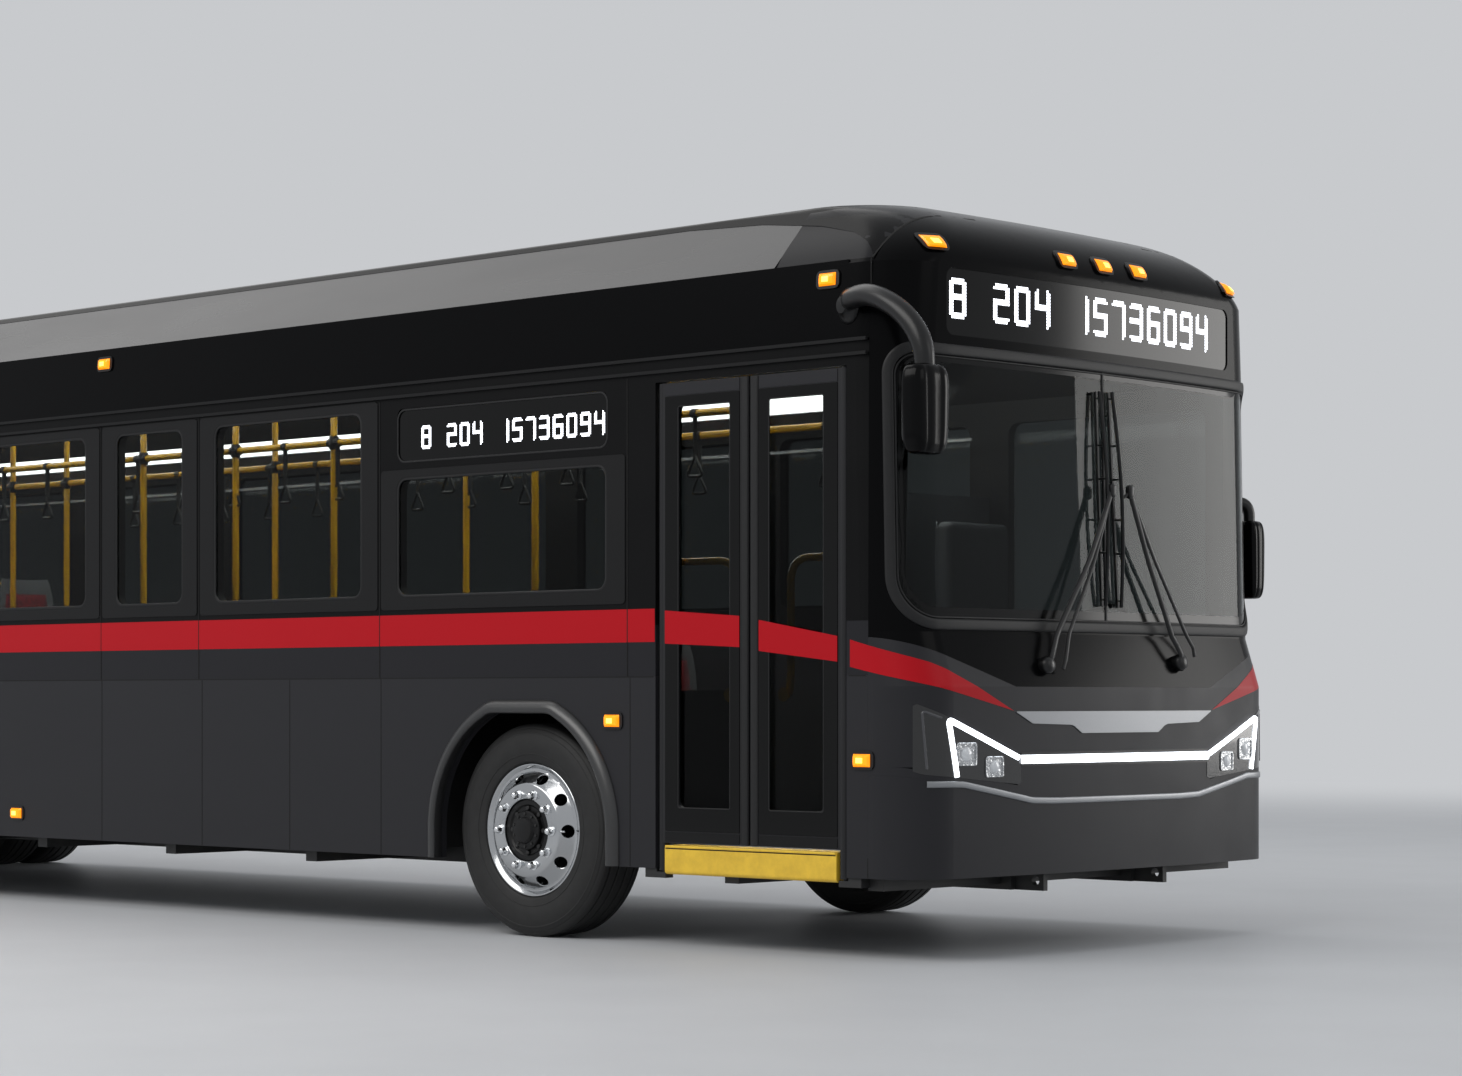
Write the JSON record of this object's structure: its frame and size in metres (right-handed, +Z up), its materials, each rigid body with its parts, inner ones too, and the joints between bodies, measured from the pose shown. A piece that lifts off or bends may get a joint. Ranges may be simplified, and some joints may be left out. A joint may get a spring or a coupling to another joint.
{
  "type": "city bus",
  "caption": "Low-floor city bus with steered front wheels, twin rear wheels, double doors that swing out, a lifting engine hatch and a furnished cabin.",
  "frame": {"origin": "on the ground under the middle of the overall box, mirrors included", "axes": "+X towards the front of the bus, +Y towards the driver's left side, +Z up; the doors are on the -Y side"},
  "size_m": [12.55, 3.09, 3.1599],
  "materials": {
    "frame_steel": "satin",
    "floor_grey": "matte",
    "housing_black": "matte",
    "lower_grey": "satin",
    "upper_dark": "gloss",
    "cove_black": "gloss",
    "fairing_grey": "satin",
    "unit_grey": "satin",
    "trim_black": "matte",
    "arch_rubber": "matte",
    "rail_aluminium": "satin",
    "clear_glass": "gloss",
    "tinted_glass": "gloss",
    "sign_glass": "gloss",
    "lamp_black": "gloss",
    "amber": "gloss",
    "red_lens": "gloss",
    "mirror_black": "satin",
    "wiper_black": "satin",
    "seat_fabric": "matte",
    "cab_grey": "matte",
    "rail_yellow": "gloss",
    "light_white": "matte",
    "cast_dark": "rough",
    "bellows": "matte",
    "tyre": "matte",
    "rim": "polished",
    "hub": "satin",
    "step_yellow": "satin",
    "wheel_black": "matte"
  },
  "bodies": {
    "chassis": {"air_springs": "bellows", "ceiling_lights": "light_white", "destination_signs": "sign_glass", "door_steps": "step_yellow", "drip_rails": "rail_aluminium", "driver_station": "cab_grey", "engine_block": "cast_dark", "floor": "floor_grey", "front_axle": "cast_dark", "front_bumper": "lower_grey", "front_mask": "lower_grey", "front_surround": "cove_black", "grab_rails": "rail_yellow", "headlamps": "lamp_black", "left_skirts": "lower_grey", "left_wall": "upper_dark", "marker_lamps": "amber", "mirrors": "mirror_black", "passenger_seats": "seat_fabric", "rear_axle": "cast_dark", "rear_bumper": "trim_black", "rear_cap": "lower_grey", "right_skirts": "lower_grey", "right_wall": "upper_dark", "roof_fairings": "fairing_grey", "roof_shell": "cove_black", "roof_units": "unit_grey", "side_windows": "tinted_glass", "tail_lamps": "red_lens", "underframe": "frame_steel", "wheel_arch_trims": "arch_rubber", "wheel_housings": "housing_black", "windscreen": "clear_glass", "wipers": "wiper_black"},
    "knuckle_left": {"knuckle_left": "cast_dark"},
    "wheel_front_left": {"tyre_front_left": "tyre", "rim_front_left": "rim", "hub_front_left": "hub"},
    "wheels_rear_left": {"tyres_rear_left": "tyre", "rims_rear_left": "rim", "hub_rear_left": "hub"},
    "knuckle_right": {"knuckle_right": "cast_dark"},
    "wheel_front_right": {"tyre_front_right": "tyre", "rim_front_right": "rim", "hub_front_right": "hub"},
    "wheels_rear_right": {"tyres_rear_right": "tyre", "rims_rear_right": "rim", "hub_rear_right": "hub"},
    "front_door_back": {"front_door_leaf_back": "upper_dark", "front_door_pane_back": "tinted_glass"},
    "front_door_front": {"front_door_leaf_front": "upper_dark", "front_door_pane_front": "tinted_glass"},
    "rear_door_back": {"rear_door_leaf_back": "upper_dark", "rear_door_pane_back": "tinted_glass"},
    "rear_door_front": {"rear_door_leaf_front": "upper_dark", "rear_door_pane_front": "tinted_glass"},
    "engine_door": {"engine_door": "lower_grey"},
    "steering_wheel": {"steering_wheel": "wheel_black"}
  },
  "joints": [
    {"name": "steer_left", "type": "hinge", "parent": "chassis", "child": "knuckle_left", "pos_m": [3.78, 0.96, 0.4795], "axis": [0, 0, 1], "range_deg": [-40, 40]},
    {"name": "steer_right", "type": "hinge", "parent": "chassis", "child": "knuckle_right", "pos_m": [3.78, -0.96, 0.4795], "axis": [0, 0, 1], "range_deg": [-40, 40]},
    {"name": "front_left_spin", "type": "hinge", "parent": "knuckle_left", "child": "wheel_front_left", "pos_m": [3.78, 1.107, 0.4795], "axis": [0, 1, 0], "continuous": true},
    {"name": "rear_left_spin", "type": "hinge", "parent": "chassis", "child": "wheels_rear_left", "pos_m": [-3.32, 0.948, 0.4795], "axis": [0, 1, 0], "continuous": true},
    {"name": "front_right_spin", "type": "hinge", "parent": "knuckle_right", "child": "wheel_front_right", "pos_m": [3.78, -1.107, 0.4795], "axis": [0, 1, 0], "continuous": true},
    {"name": "rear_right_spin", "type": "hinge", "parent": "chassis", "child": "wheels_rear_right", "pos_m": [-3.32, -0.948, 0.4795], "axis": [0, 1, 0], "continuous": true},
    {"name": "front_door_back_swing", "type": "hinge", "parent": "chassis", "child": "front_door_back", "pos_m": [4.642, -1.268, 1.4], "axis": [0, 0, -1], "range_deg": [0, 90]},
    {"name": "front_door_front_swing", "type": "hinge", "parent": "chassis", "child": "front_door_front", "pos_m": [5.667, -1.268, 1.4], "axis": [0, 0, 1], "range_deg": [0, 90]},
    {"name": "rear_door_back_swing", "type": "hinge", "parent": "chassis", "child": "rear_door_back", "pos_m": [-1.972, -1.268, 1.4], "axis": [0, 0, -1], "range_deg": [0, 90]},
    {"name": "rear_door_front_swing", "type": "hinge", "parent": "chassis", "child": "rear_door_front", "pos_m": [-0.848, -1.268, 1.4], "axis": [0, 0, 1], "range_deg": [0, 90]},
    {"name": "engine_door_lift", "type": "hinge", "parent": "chassis", "child": "engine_door", "pos_m": [-6.207, 0, 1.349], "axis": [0, 1, 0], "range_deg": [0, 85]},
    {"name": "steering_wheel_turn", "type": "hinge", "parent": "chassis", "child": "steering_wheel", "pos_m": [5.34, 0.77, 1.37], "axis": [-0.5299, 0, 0.848], "range_deg": [-720, 720]}
  ],
  "couplings": [
    {"joint": "steer_right", "follows": "steer_left", "ratio": 1},
    {"joint": "steering_wheel_turn", "follows": "steer_left", "ratio": 18}
  ]
}
